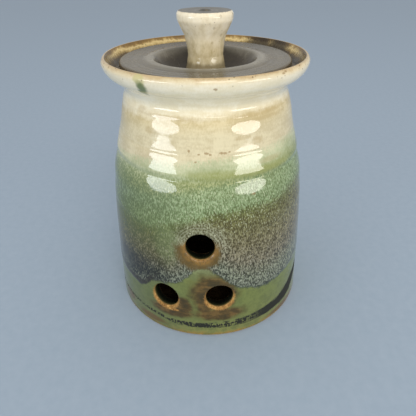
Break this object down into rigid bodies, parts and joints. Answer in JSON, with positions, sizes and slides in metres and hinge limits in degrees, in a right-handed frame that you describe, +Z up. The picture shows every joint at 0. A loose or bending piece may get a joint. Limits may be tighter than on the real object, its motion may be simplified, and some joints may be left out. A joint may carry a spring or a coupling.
{
  "type": "garlic keeper",
  "caption": "Wheel-thrown round stoneware jar with a tapering wall, round vents low at the front, a flared galleried rim and a drop-in lid with a flared knob.",
  "frame": {"origin": "on the pot's axis at the surface that it stands on", "axes": "+Z up along the pot's axis; -Y is the front, where the vents are; +X is to the right of someone looking at the vents"},
  "size_m": [0.094, 0.094, 0.132],
  "materials": {
    "jar_glaze": "glossy reactive stoneware glaze, cream at the rim running to green and brown below, bare clay under the foot",
    "lid_glaze": "satin grey-beige glaze",
    "knob_glaze": "glossy cream glaze with a grey top"
  },
  "bodies": {
    "jar": {"jar": "jar_glaze"},
    "lid": {"lid": "lid_glaze", "knob": "knob_glaze"}
  },
  "joints": [
    {"name": "lid_lift", "type": "slide", "parent": "jar", "child": "lid", "axis": [0, 0, 1], "range_m": [0, 0.035]}
  ]
}
